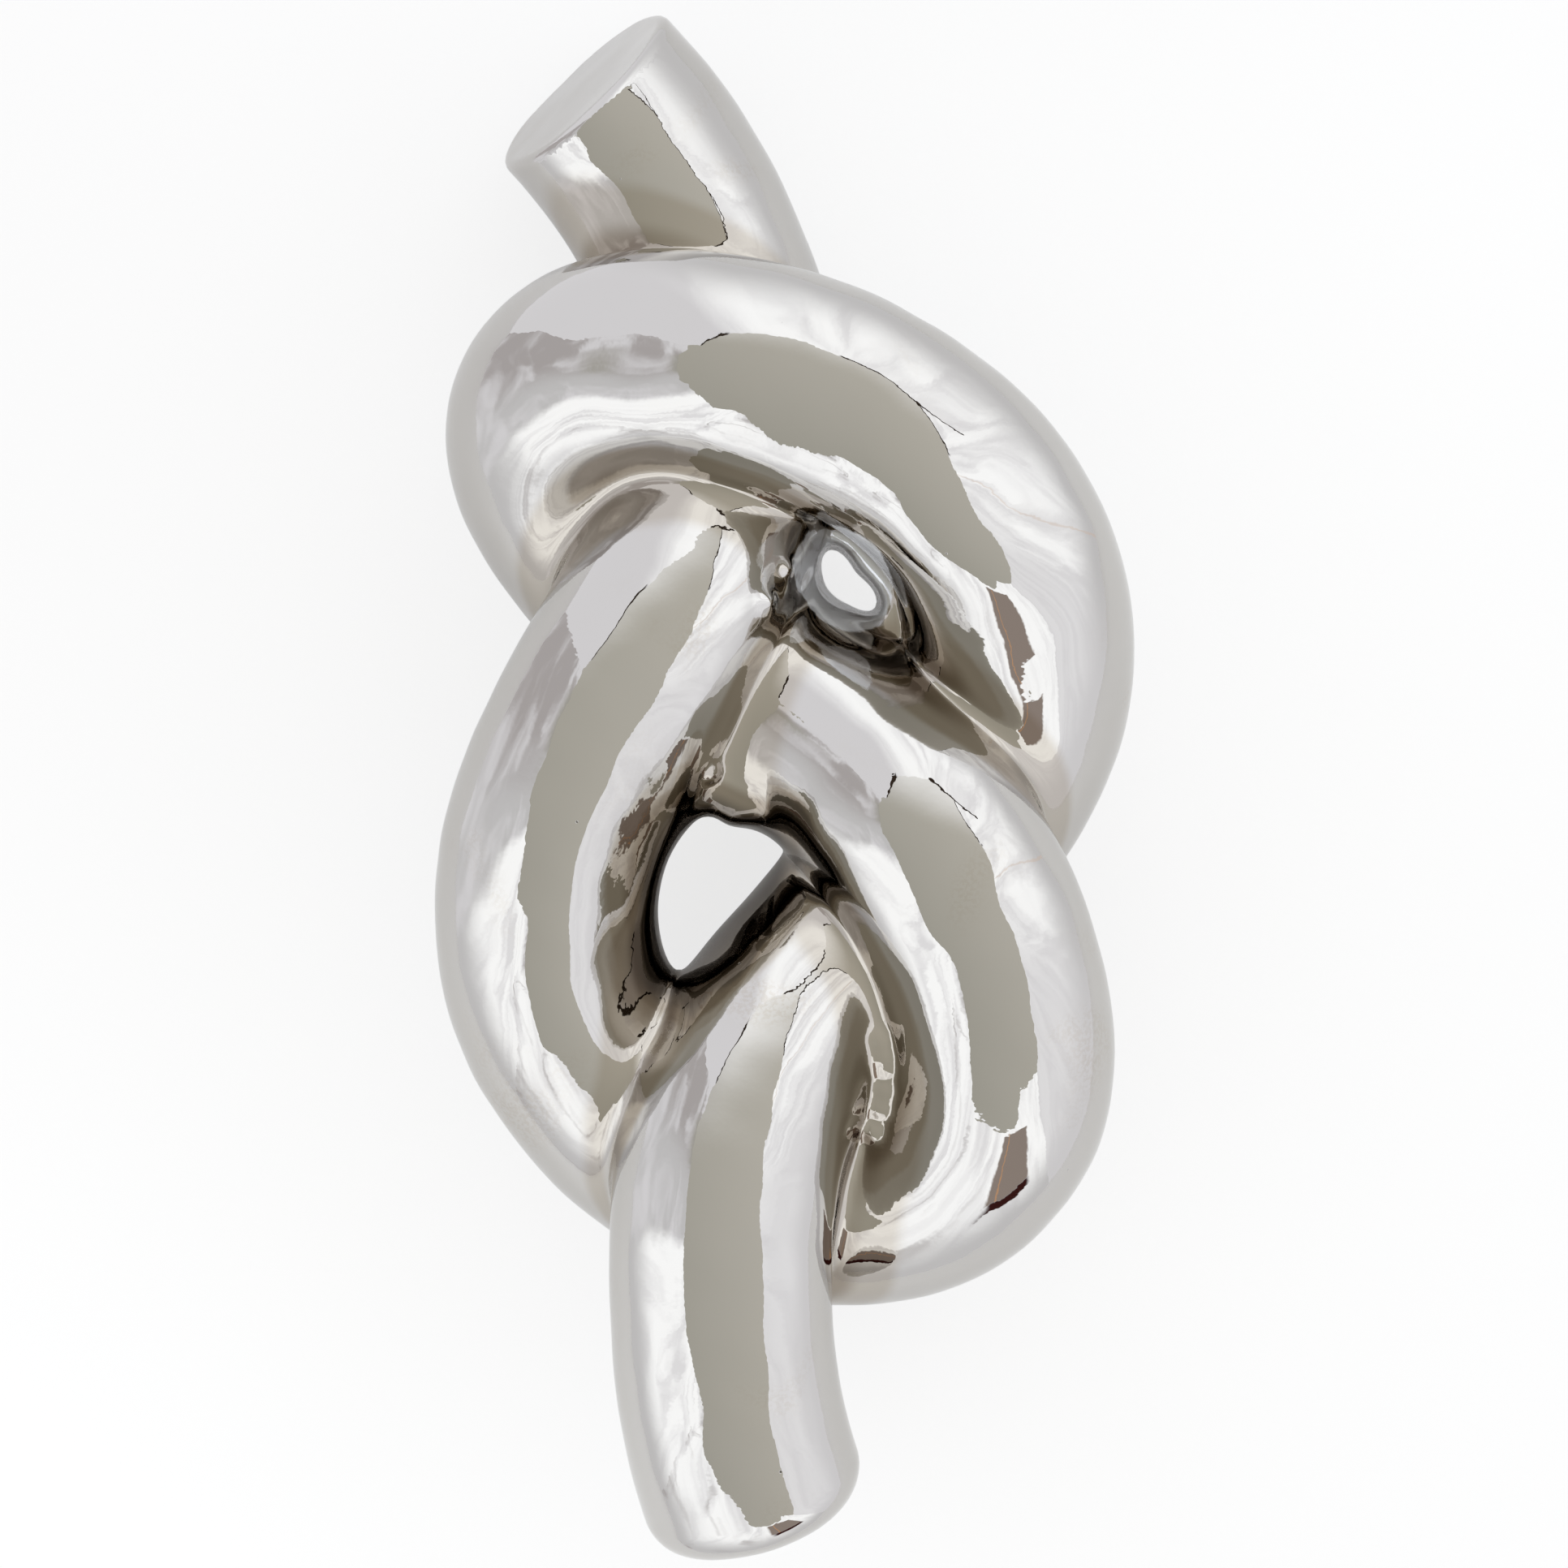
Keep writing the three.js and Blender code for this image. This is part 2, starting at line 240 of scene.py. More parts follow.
# Painted shade: where the hollow value starts and completes each darker colour
SHADED_HOLLOW = (0.22, 0.36)
DEEP_SHADE_RANGE = (0.55, 0.8)
THROAT_SHADE_RANGE = (0.85, 1.2)
SPECK_SCALE = 95.0
SPECK_LEFT_OUT = 0.78
SPECK_EDGE = (0.045, 0.025)
SPECK_SHARE = 0.75
RING_SCALE = 160.0
RING_RAGGED = 0.22
RING_EDGE = (1.03, 0.97)
SMUDGE_SCALE = 120.0
SMUDGE_EDGE = (0.52, 0.68)
SMUDGE_SHARE = 0.5
# Painted shade on the glaze where the surface closes in
GLAZE_SHADE_RANGE = (0.5, 0.9)
GLAZE_SHADE_SHARE = 0.45
HAZE_SCALE = 38.0
HAZE_EDGE = (0.45, 0.8)
ROUGH_CLEAN = 0.012
ROUGH_HAZE = 0.03
ROUGH_THIN = 0.04
ROUGH_GLAZE = 0.05
DIMPLE_SCALE = 260.0

# Bare fired slip, and felt
SLIP_PALE = (0.86, 0.82, 0.76, 1)
SLIP_DARK = (0.78, 0.73, 0.66, 1)
SLIP_PATCH_SCALE = 150.0
SLIP_GRIT_SCALE = 1500.0
SLIP_GRIT_HEIGHT = 0.08
SLIP_ROUGH = 0.65
SLIP_ROUGH_GRIT = 0.25
FELT_DARK = (0.20, 0.185, 0.17, 1)
FELT_MID = (0.32, 0.295, 0.27, 1)
FELT_FIBRE = (0.36, 0.335, 0.31, 1)
FELT_FIBRE_SCALE = 2200.0
FELT_SHADE_SCALE = 300.0
FELT_FIBRE_HEIGHT = 0.15
FELT_SHEEN = 0.4
FELT_SPECULAR = 0.1

# Studio light, as radiance
CLOTH_WHITE = (1.68, 1.73, 1.78, 1)
CLOTH_FOLD = (1.12, 1.13, 1.19, 1)
CLOTH_LOW = (0.90, 0.91, 0.94, 1)
CLOTH_LILAC = (0.66, 0.635, 0.645, 1)
CLOTH_SEAM = (1.05, 0.80, 0.62, 1)
OPENING_DARK = (0.56, 0.555, 0.495, 1)
OPENING_BRIGHT = (0.815, 0.795, 0.725, 1)
HEM = (0.05, 0.035, 0.025, 1)
STRAP = (0.43, 0.363, 0.325, 1)
CORD = (0.9, 0.5, 0.25, 1)
STRAP_EDGE = (0.06, 0.016, 0.014, 1)
BACKDROP = (1, 1, 1, 1)
FLOOR_COLOUR = (0.95, 0.95, 0.95, 1)
FLOOR_ROUGH = 0.9
FLOOR_LIFT = 0.75
FLOOR_LIFT_IN_MIRROR = 0.1

# What shows through the opening: the bright colour's share overhead, its rise per degree, and where cloth
# takes over
OPENING_LEVEL = 0.5
OPENING_RISE_ACROSS = 0.006
OPENING_RISE_ALONG = 0.005
OPENING_ENDS = (20, 72)
OPENING_FOLD = (-5, -45)

# Light tent round the knot: cloth walls, open at the top, with a low screen at the back and a strap across
# the dip in front
TENT_LEFT = -320
TENT_RIGHT = 300
TENT_BACK = 700
TENT_FRONT = -370
TENT_TOP = 485
LEFT_LOW = 450
LEFT_EDGE = [
    (TENT_BACK, TENT_TOP), (240, TENT_TOP), (200, LEFT_LOW), (0, LEFT_LOW), (-40, TENT_TOP), (-250, 500),
    (TENT_FRONT, 650),
]
RIGHT_EDGE = [(TENT_BACK, TENT_TOP), (0, TENT_TOP), (-100, 450), (-200, 390), (TENT_FRONT, 390)]
FRONT_EDGE = [
    (TENT_LEFT, 650), (-260, 600), (-220, 480), (-190, 380), (-160, 325), (-120, 318), (120, 318), (150, 345),
    (180, 390), (TENT_RIGHT, 390),
]
SCREEN_AT = 260
SCREEN_TOP = 310
SCREEN_RISE = 0.9
SCREEN_RISES_FROM = -75
SCREEN_RISES_TO = -260
SCREEN_LEFT_TOP = SCREEN_TOP + SCREEN_RISE * (SCREEN_RISES_FROM - SCREEN_RISES_TO)
SCREEN_EDGE = [
    (TENT_RIGHT, SCREEN_TOP), (SCREEN_RISES_FROM, SCREEN_TOP), (SCREEN_RISES_TO, SCREEN_LEFT_TOP),
    (TENT_LEFT, SCREEN_LEFT_TOP),
]
SCREEN_HEM = 26
STRAP_LEFT = 60
STRAP_RIGHT = 200
STRAP_BOTTOM = 141
STRAP_TOP = 304
STRAP_EDGE_WIDTH = 26
STRAP_SOFT = 12
STRAP_EDGE_INSET = 10
STRAP_EDGE_SOFT = 20
STRAP_LINE_SOFT = 4
CORD_AT = 88
CORD_WIDTH = 5
CORD_SHARE = 0.7
SEAM_AT = 96
SEAM_WIDTH = 5
SEAM_SHARE = 0.35
THREAD_SOFT = 2
FLOOR_HALF = 3000

# Shading of the cloth: scales are per millimetre, pairs are where a mix starts and where it is complete
FOLD_STRETCH = (1, 1, 0.25)
FOLD_SCALE = 0.012
FOLD_EDGE = (0.40, 0.70)
FOLD_SHARE = 0.7
CLOTH_LOW_BELOW = (190, 20)
HEM_SCALE = 0.02
LEFT_WANDER_SCALE = 0.006
LEFT_WANDER = 120.0
LEFT_SHADED = (-120, -60)
LEFT_STREAK_SCALE = 0.007
LEFT_STREAK = (0.42, 0.72)
LEFT_DEEP = (0, 140)
LEFT_DIM_FROM = 60
LEFT_DIM_TO = 200
LEFT_DIM_SOFT = 40
LEFT_DIM_LEVEL = 360
RIGHT_DIM = (60, -120)
RIGHT_DIM_SHARE = 0.7
RIGHT_HEM_BEYOND = (180, 200)
RIGHT_HEM_WIDTH = 24.0
SCREEN_DIM = (-10, -110)
SCREEN_HEM_SOFT = 10
SCREEN_RIGHT_HEM = (80, 90)
SCREEN_RIGHT_HEM_WIDTH = 16.0
FRONT_STREAK_SCALE = 0.008
FRONT_STREAK = (0.5, 0.75)
FRONT_STREAKED = (60, -60)

# Camera, straight above the middle: how high, how wide a field it takes in at its distance, and its sensor
CAMERA_HEIGHT = 2050
FIELD_WIDTH = 410.7
FIELD_DISTANCE = 2000
SENSOR_WIDTH = 36

# Where pieces meet
JOINT_REACH = 6.0
JOINT_WEIGHT = 0.1
CREASE_REACH = 60.0
FILLET_WIDTH = 6.0
WEB_LEAD = 5.0
SMALLEST_ISLAND = 300


# Strand

def strand_line():
    """Evenly spaced points on the centreline, a clamped uniform cubic B-spline, and the length along it."""
    control = np.array(CENTRELINE, float) + [0, 0, LOW_CENTRE]
    degree = 3
    spans = len(control) - degree
    knots = np.concatenate((np.zeros(degree), np.arange(spans + 1), np.full(degree, spans)))
    place = np.linspace(0, spans - JUST_INSIDE, spans * STEPS_PER_SPAN)
    weights = [((knots[i] <= place) & (place < knots[i + 1])).astype(float) for i in range(len(knots) - 1)]
    for order in range(1, degree + 1):
        raised = []
        for i in range(len(weights) - 1):
            total = np.zeros_like(place)
            if knots[i + order] > knots[i]:
                total += (place - knots[i]) / (knots[i + order] - knots[i]) * weights[i]
            if knots[i + order + 1] > knots[i + 1]:
                rest = (knots[i + order + 1] - place) / (knots[i + order + 1] - knots[i + 1])
                total += rest * weights[i + 1]
            raised.append(total)
        weights = raised
    dense = np.array(weights).T @ control
    along = np.concatenate(([0], np.cumsum(np.linalg.norm(np.diff(dense, axis=0), axis=1))))
    stations = np.linspace(0, along[-1], round(along[-1] / SAMPLE_SPACING) + 1)
    points = np.stack([np.interp(stations, along, dense[:, axis]) for axis in range(3)], axis=1)
    return points, stations


def unit(vector):
    return vector / np.linalg.norm(vector)


line, stations = strand_line()
strand_length = stations[-1]
top_out = unit(line[0] - line[1])
bottom_out = unit(line[-1] - line[-2])
overrun = np.arange(SAMPLE_SPACING, END_REACH, SAMPLE_SPACING)
full_line = np.concatenate((
    line[0] + overrun[::-1, None] * top_out,
    line,
    line[-1] + overrun[:, None] * bottom_out,
))
full_stations = np.concatenate((-overrun[::-1], stations, strand_length + overrun))


# Surface as the zero level of a field of signed distances

def chunks(points):
    for start in range(0, len(points), CHUNK):
        yield slice(start, start + CHUNK)


def strand_gaps(points):
    """Distance from each point to each sample of the centreline."""
    squared = (points ** 2).sum(1)[:, None] + (full_line ** 2).sum(1) - 2 * points @ full_line.T
    return np.sqrt(np.maximum(squared, LEAST_SQUARED_GAP))


def strand_field(points):
    """Signed distance to the strand, with its turns blended where they meet, and its gradient."""
    value = np.empty(len(points))
    gradient = np.empty((len(points), 3))
    straight_strand = math.sqrt(2 * math.pi * STRAND_RADIUS * BLEND) / SAMPLE_SPACING
    for part in chunks(points):
        here = points[part]
        gaps = strand_gaps(here)
        pull = np.exp((STRAND_RADIUS - gaps) / BLEND)
        total = pull.sum(1)
        value[part] = -BLEND * np.log(total / straight_strand)
        pull /= gaps
        gradient[part] = (pull.sum(1)[:, None] * here - pull @ full_line) / total[:, None]
    return value, gradient


def smooth_join(first, second, softness):
    return -softness * np.logaddexp(-first / softness, -second / softness)


def round_cut(value, beyond, radius):
    """Keeps what isn't beyond a plane, with a true radius along the edge."""
    corner = np.hypot(np.maximum(value + radius, 0), np.maximum(beyond + radius, 0))
    return np.minimum(np.maximum(value, beyond), -radius) + corner


def web_field(points, web):
    """Signed distance to an upright disc with a rounded edge."""
    centre = np.array(web["centre"], float) + [0, 0, LOW_CENTRE]
    across = np.hypot(points[:, 0] - centre[0], points[:, 1] - centre[1]) - web["radius"]
    up = np.abs(points[:, 2] - centre[2]) - web["half_height"]
    return round_cut(across, up, WEB_EDGE)


def eye_field(points, eye):
    """How far each point lies outside an upright hole, in plan: an oval that swells towards three corners."""
    along_x = points[:, 0] - eye["centre"][0]
    along_y = points[:, 1] - eye["centre"][1]
    cosine, sine = math.cos(eye["turn"]), math.sin(eye["turn"])
    across = (cosine * along_x + sine * along_y) / eye["half_width"]
    length = (cosine * along_y - sine * along_x) / eye["half_length"]
    swell = 1 + eye["corners"] * np.cos(3 * (np.arctan2(length, across) - eye["lean"]))
    return np.hypot(along_x, along_y) * (1 - swell / np.maximum(np.hypot(across, length), TINY))


def ripple_waves():
    """Wave vectors, phases and heights, drawn once."""
    draw = np.random.default_rng(SEED)
    lengths = np.geomspace(RIPPLE_SHORTEST, RIPPLE_LONGEST, RIPPLE_WAVES)
    ways = draw.normal(size=(RIPPLE_WAVES, 3))
    ways /= np.linalg.norm(ways, axis=1)[:, None]
    heights = RIPPLE_SLOPE * math.sqrt(2 / RIPPLE_WAVES) * lengths / (2 * math.pi)
    return ways * (2 * math.pi / lengths)[:, None], draw.uniform(0, 2 * math.pi, RIPPLE_WAVES), heights


wave_vectors, wave_phases, wave_heights = ripple_waves()


def ripple(points):
    """Height of the unevenness, and its gradient."""
    value = np.empty(len(points))
    gradient = np.empty((len(points), 3))
    for part in chunks(points):
        turn = points[part] @ wave_vectors.T + wave_phases
        value[part] = np.cos(turn) @ wave_heights
        gradient[part] = -(np.sin(turn) * wave_heights) @ wave_vectors
    return value, gradient


def knot_field(strand, points):
    """The whole knot from the strand's field: webs with eyes, rim and lumps added, ends and feet cut."""
    value = strand
    for name, web in WEBS.items():
        solid = web_field(points, web)
        if name in EYES:
            solid = round_cut(solid, -eye_field(points, EYES[name]), EYES[name]["lip"])
        value = smooth_join(value, solid, WEB_BLEND)
    from_middle = np.abs(eye_field(points, EYES["upper_web"]) - RIM_OUT) - RIM_HALF
    rim = round_cut(from_middle, points[:, 2] - LOW_CENTRE - RIM_TOP, RIM_HALF)
    rim = np.maximum(rim, LOW_CENTRE + WEBS["upper_web"]["centre"][2] - points[:, 2])
    value = smooth_join(value, rim, RIM_BLEND)
    for middle, depth, width in PRESSED:
        value = value + depth * np.exp(-((points - middle) ** 2).sum(1) / (2 * width ** 2))
    for centre, radius in lump_places:
        value = smooth_join(value, np.linalg.norm(points - centre, axis=1) - radius, LUMP_BLEND)
    value = round_cut(value, (points - line[0]) @ top_out - TOP_FACE_BEYOND, TOP_RIM_RADIUS)
    value = round_cut(value, (points - line[-1]) @ bottom_out - BOTTOM_FACE_BEYOND, BOTTOM_RIM_RADIUS)
    return round_cut(value, FOOT_LEVEL - points[:, 2], FOOT_EDGE)


def field(points):
    return knot_field(strand_field(points)[0], points) + ripple(points)[0]


def settle_lumps():
    """Each lump's centre, a little below the surface that is seen from above."""
    heights = np.arange(0, LUMP_SEARCH_TOP, LUMP_SEARCH_STEP)
    places = []
    for x, y, radius in LUMPS:
        column = np.stack((np.full_like(heights, x), np.full_like(heights, y), heights), axis=1)
        solid = heights[field(column) < 0]
        if len(solid):
            places.append((np.array([x, y, solid.max() - LUMP_SINK * radius]), radius))
    return places


# The lumps settle on the surface as it is without them
lump_places = []
lump_places = settle_lumps()


def field_and_gradient(points):
    step = SLOPE_STEP
    strand, slope = strand_field(points)
    value = knot_field(strand, points)
    gradient = np.empty((len(points), 3))
    for axis in range(3):
        shift = np.zeros(3)
        shift[axis] = step
        ahead = knot_field(strand + step * slope[:, axis], points + shift)
        behind = knot_field(strand - step * slope[:, axis], points - shift)
        gradient[:, axis] = (ahead - behind) / (2 * step)
    height, tilt = ripple(points)
    return value + height, gradient + tilt


def settle(points, rounds):
    """Moves points onto the surface and gives the normals there."""
    for _ in range(rounds):
        value, gradient = field_and_gradient(points)
        points = points - gradient * (value / (gradient ** 2).sum(1))[:, None]
    gradient = field_and_gradient(points)[1]
    return points, gradient / np.linalg.norm(gradient, axis=1)[:, None]


def hollow_shade_amounts(points, normals):
    """How much shade is painted: 0 on open ground, towards 1 where the surface closes in, and more in the
    throat of the large eye.
    """
    closed = np.zeros(len(points))
    for reach in HOLLOW_REACHES:
        closed += np.clip(1 - field(points + reach * normals) / reach, 0, 1)
    # Painted shade round the large eye's throat, strongest at its edge
    throat_shade = np.clip(1 - eye_field(points, EYES["lower_web"]) / THROAT_SHADE_REACH, 0, 1)
    return np.maximum(closed / len(HOLLOW_REACHES), THROAT_SHADE_STRENGTH * throat_shade)


def surface_mesh():
    """Vertices on the zero level, and the triangles between them."""
    margin = STRAND_RADIUS + MARGIN_CELLS * CELL
    low = line.min(0) - margin
    coarse = CELL * COARSE_CELLS
    counts = np.ceil((line.max(0) + margin - low) / coarse).astype(int)
    corners = np.stack(np.meshgrid(*[np.arange(n) for n in counts], indexing="ij"), axis=-1).reshape(-1, 3)
    rough = field(low + coarse * (corners + 0.5)).reshape(counts)
    near = np.abs(rough) < NEAR_COARSE_CELLS * coarse + NEAR_CELLS * CELL
    for axis in range(3):
        rough = rough.repeat(COARSE_CELLS, axis)
        near = near.repeat(COARSE_CELLS, axis)
    rough[near] = field(low + CELL * (np.argwhere(near) + 0.5))
    grid = openvdb.FloatGrid(float(margin))
    grid.copyFromArray(rough.astype(np.float32))
    vertices, quads = grid.convertToQuads(0.0)
    vertices = settle(low + CELL * (vertices.astype(float) + 0.5), PROJECTIONS)[0]
    return vertices, np.concatenate((quads[:, [0, 1, 2]], quads[:, [0, 2, 3]])).astype(int)


# Pieces: every vertex goes to the piece with the highest score there

def section_scores(points):
    """For each section, minus the distance to its run of the centreline, with the border at its joints."""
    ranges = {
        "top_end_disc": (-END_REACH, 0),
        **SECTIONS,
        "bottom_end_cap": (strand_length, strand_length + END_REACH),
    }
    scores = {name: np.empty(len(points)) for name in ranges}
    for part in chunks(points):
        gaps = strand_gaps(points[part])
        rows = np.arange(len(gaps))
        for name, (start, end) in ranges.items():
            run = np.flatnonzero((full_stations > start - JOINT_REACH) & (full_stations < end + JOINT_REACH))
            near = run[gaps[:, run].argmin(1)]
            depth = np.minimum(full_stations[near] - start, end - full_stations[near])
            scores[name][part] = JOINT_WEIGHT * np.clip(depth, -JOINT_REACH, JOINT_REACH) - gaps[rows, near]
    return scores


def crease_score(points, stations_met):
    """Slip fills the crease where two turns of the strand are about equally near."""
    runs = []
    for station in stations_met:
        run = np.abs(full_stations - station) < CREASE_REACH
        gaps = np.empty(len(points))
        for part in chunks(points):
            gaps[part] = strand_gaps(points[part])[:, run].min(1)
        runs.append(gaps)
    return FILLET_WIDTH / 2 - (runs[0] + runs[1]) / 2


def piece_scores(points):
    scores = section_scores(points)
    for name, stations_met in CROSSINGS.items():
        scores[name] = crease_score(points, stations_met)
    for name in ("upper_web", "lower_web"):
        scores[name] = WEB_LEAD - web_field(points, WEBS[name]) - STRAND_RADIUS
    wedge = WEBS["slip_wedge"]
    from_wedge = np.hypot(points[:, 0] - wedge["centre"][0], points[:, 1] - wedge["centre"][1])
    scores["slip_wedge"] = crease_score(points, WEDGE_MEETS) + wedge["radius"] - from_wedge
    return list(scores), np.stack(list(scores.values()), axis=1)


def edges_of(triangles):
    edges = np.concatenate((triangles[:, [0, 1]], triangles[:, [1, 2]], triangles[:, [2, 0]]))
    return np.unique(np.sort(edges, axis=1), axis=0)


def islands(labels, edges):
    """A number for each connected patch of vertices with one label."""
    same = edges[labels[edges[:, 0]] == labels[edges[:, 1]]]
    patch = np.arange(len(labels))
    while True:
        lowest = np.minimum(patch[same[:, 0]], patch[same[:, 1]])
        merged = patch.copy()
        np.minimum.at(merged, same[:, 0], lowest)
        np.minimum.at(merged, same[:, 1], lowest)
        merged = merged[merged]
        if (merged == patch).all():
            return patch
        patch = merged


def absorb_small_islands(labels, edges):
    """Gives each patch that is too small to be a piece to the neighbour that it borders most."""
    patch = islands(labels, edges)
    numbers, sizes = np.unique(patch, return_counts=True)
    labels = labels.copy()
    for number in numbers[sizes < SMALLEST_ISLAND]:
        inside = patch == number
        across = edges[inside[edges[:, 0]] != inside[edges[:, 1]]]
        outer = np.where(inside[across[:, 0]], across[:, 1], across[:, 0])
        if len(outer):
            labels[inside] = np.bincount(labels[outer]).argmax()
    return labels


def part_along_borders(points, triangles, labels, scores):
    """Cuts the triangles where the label changes. Gives all points, the triangles and their labels."""
    edges = edges_of(triangles)
    cut = edges[labels[edges[:, 0]] != labels[edges[:, 1]]]
    first, second = labels[cut[:, 0]], labels[cut[:, 1]]
    lead = np.maximum(scores[cut[:, 0], first] - scores[cut[:, 0], second], TINY)
    lag = np.maximum(scores[cut[:, 1], second] - scores[cut[:, 1], first], TINY)
    share = np.clip(lead / (lead + lag), CUT_MARGIN, 1 - CUT_MARGIN)[:, None]
    cut_points = points[cut[:, 0]] * (1 - share) + points[cut[:, 1]] * share
    number_of = {tuple(edge): len(points) + i for i, edge in enumerate(cut.tolist())}
    new_points = [cut_points]
    next_number = len(points) + len(cut)
    corner_labels = labels[triangles]
    whole = (corner_labels == corner_labels[:, :1]).all(1)
    faces = triangles[whole].tolist()
    face_labels = corner_labels[whole, 0].tolist()
    for corners in triangles[~whole].tolist():
        kinds = [labels[c] for c in corners]
        sides = zip(corners, corners[1:] + corners[:1])
        crossings = [number_of.get((min(a, b), max(a, b))) for a, b in sides]
        if None in crossings:
            turn = (crossings.index(None) + 2) % 3
            a, b, c = corners[turn:] + corners[:turn]
            ab, _, ca = crossings[turn:] + crossings[:turn]
            faces += [[a, ab, ca], [ab, b, c], [ab, c, ca]]
            face_labels += [labels[a], labels[b], labels[b]]
        else:
            middle = next_number
            next_number += 1
            new_points.append(cut_points[[c - len(points) for c in crossings]].mean(0)[None])
            for i in range(3):
                faces += [[corners[i], crossings[i], middle], [corners[i], middle, crossings[i - 1]]]
                face_labels += [kinds[i]] * 2
    return np.concatenate([points] + new_points), np.array(faces), np.array(face_labels)


def shell_mesh(name, points, normals, hollow_shade, triangles):
    """A closed shell: the outer surface, the same surface further in, and a rim between their borders."""
    used, outer = np.unique(triangles, return_inverse=True)
    outer = outer.reshape(-1, 3)
    count = len(used)
    directed = np.concatenate((outer[:, [0, 1]], outer[:, [1, 2]], outer[:, [2, 0]]))
    codes = directed[:, 0] * count + directed[:, 1]
    border = directed[~np.isin(codes, directed[:, 1] * count + directed[:, 0])]
    rim = np.stack((border[:, 1], border[:, 0], border[:, 0] + count, border[:, 1] + count), axis=1)
    inner = outer[:, ::-1] + count
    out = normals[used]
    places = np.concatenate((points[used], points[used] - SHELL * out))
    mesh = bpy.data.meshes.new(name)
    mesh.from_pydata((places * MM).tolist(), [], outer.tolist() + inner.tolist() + rim.tolist())
    mesh.polygons.foreach_set("use_smooth", np.ones(len(mesh.polygons), bool))
    corner = places[rim]
    rim_normal = np.cross(corner[:, 2] - corner[:, 0], corner[:, 3] - corner[:, 1])
    rim_normal /= np.maximum(np.linalg.norm(rim_normal, axis=1), LEAST_NORMAL)[:, None]
    loops = np.concatenate((out[outer.ravel()], -out[(inner - count).ravel()], rim_normal.repeat(4, axis=0)))
    mesh.normals_split_custom_set(loops.tolist())
    # The amount of painted shade, kept for the material
    shade_attribute = mesh.attributes.new("hollow_shade", "FLOAT", "POINT")
    shade_attribute.data.foreach_set("value", np.concatenate((hollow_shade[used], hollow_shade[used])).astype(np.float32))
    return mesh


def wobble(draw, angles, waves):
    """Smooth random values round a circle, mostly between -1 and 1."""
    total = np.zeros_like(angles)
    for count in range(FEWEST_WAVES, FEWEST_WAVES + waves):
        total += draw.normal() * np.cos(count * angles + draw.uniform(0, 2 * math.pi))
    return total / math.sqrt(waves)


def slip_ring_mesh(name, station, draw):
    """A bead of slip, squeezed out unevenly on the inside of a joint."""
    nearest = np.abs(stations - station).argmin()
    middle = line[nearest]
    ahead = unit(line[nearest + 1] - line[nearest - 1])
    sideways = unit(np.cross(ahead, [0, 0, 1]))
    upward = np.cross(sideways, ahead)
    angles = np.linspace(0, 2 * math.pi, RING_STEPS, endpoint=False)
    turns = np.linspace(0, 2 * math.pi, RING_SIDES, endpoint=False)
    depth = SLIP_DEPTH * (1 + SLIP_UNEVEN * wobble(draw, angles, SLIP_UNEVEN_WAVES))
    width = SLIP_WIDTH * (1 + SLIP_UNEVEN * wobble(draw, angles, SLIP_UNEVEN_WAVES))
    stray = SLIP_STRAY * wobble(draw, angles, SLIP_STRAY_WAVES)
    out = np.cos(angles)[:, None] * sideways + np.sin(angles)[:, None] * upward
    inward = (SLIP_OUTER_RADIUS - depth)[:, None] + depth[:, None] * np.cos(turns)
    along = stray[:, None] + width[:, None] * np.sin(turns)
    places = middle + inward[..., None] * out[:, None] + along[..., None] * ahead
    number = np.arange(RING_STEPS * RING_SIDES).reshape(RING_STEPS, RING_SIDES)
    beside = np.roll(number, -1, axis=0)
    quads = np.stack((number, np.roll(number, -1, 1), np.roll(beside, -1, 1), beside), axis=-1)
    return plain_mesh(name, places.reshape(-1, 3), quads.reshape(-1, 4).tolist())


def felt_pad_mesh(name, draw):
    """A punched felt dot: soft edges, a slightly uneven rim and a fluffy surface."""
    low, high = np.array(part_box(name)) / MM
    centre = (low + high) / 2
    radius = (high[0] - low[0]) / 2
    edge = FELT_EDGE
    bend = np.linspace(0, math.pi / 2, FELT_EDGE_STEPS)
    lower = [(radius - edge + edge * math.sin(a), edge - edge * math.cos(a)) for a in bend]
    upper = [(r, FOOT_LEVEL - z) for r, z in lower[::-1]]
    flat = np.linspace(FELT_FLAT_FROM, FELT_FLAT_TO, FELT_FLAT_STEPS) * radius
    profile = [(r, 0.0) for r in flat] + lower + upper + [(r, FOOT_LEVEL) for r in flat[::-1]]
    angles = np.linspace(0, 2 * math.pi, FELT_SIDES, endpoint=False)
    rim = 1 + FELT_RIM_UNEVEN * wobble(draw, angles, FELT_RIM_WAVES)
    rows = []
    for r, z in profile:
        fluff = draw.normal(0, FELT_FLUFF, FELT_SIDES)
        inset = np.where((z > 0) & (z < FOOT_LEVEL), fluff, 0)
        lift = np.clip(z + (fluff if z < edge else 0 * fluff), 0, FOOT_LEVEL)
        reach = np.minimum(r * rim + inset, radius)
        x = centre[0] + reach * np.cos(angles)
        y = centre[1] + reach * np.sin(angles)
        rows.append(np.stack((x, y, lift), axis=1))
    places = np.concatenate(rows + [[[centre[0], centre[1], 0.0]], [[centre[0], centre[1], FOOT_LEVEL]]])
    number = np.arange(len(profile) * FELT_SIDES).reshape(len(profile), FELT_SIDES)
    beside = np.roll(number, -1, axis=1)
    quads = np.stack((number[:-1], beside[:-1], beside[1:], number[1:]), axis=-1).reshape(-1, 4).tolist()
    bottom, top = len(places) - 2, len(places) - 1
    caps = [[bottom, beside[0, i], number[0, i]] for i in range(FELT_SIDES)]
    caps += [[top, number[-1, i], beside[-1, i]] for i in range(FELT_SIDES)]
    return plain_mesh(name + "_dot", places, quads + caps)


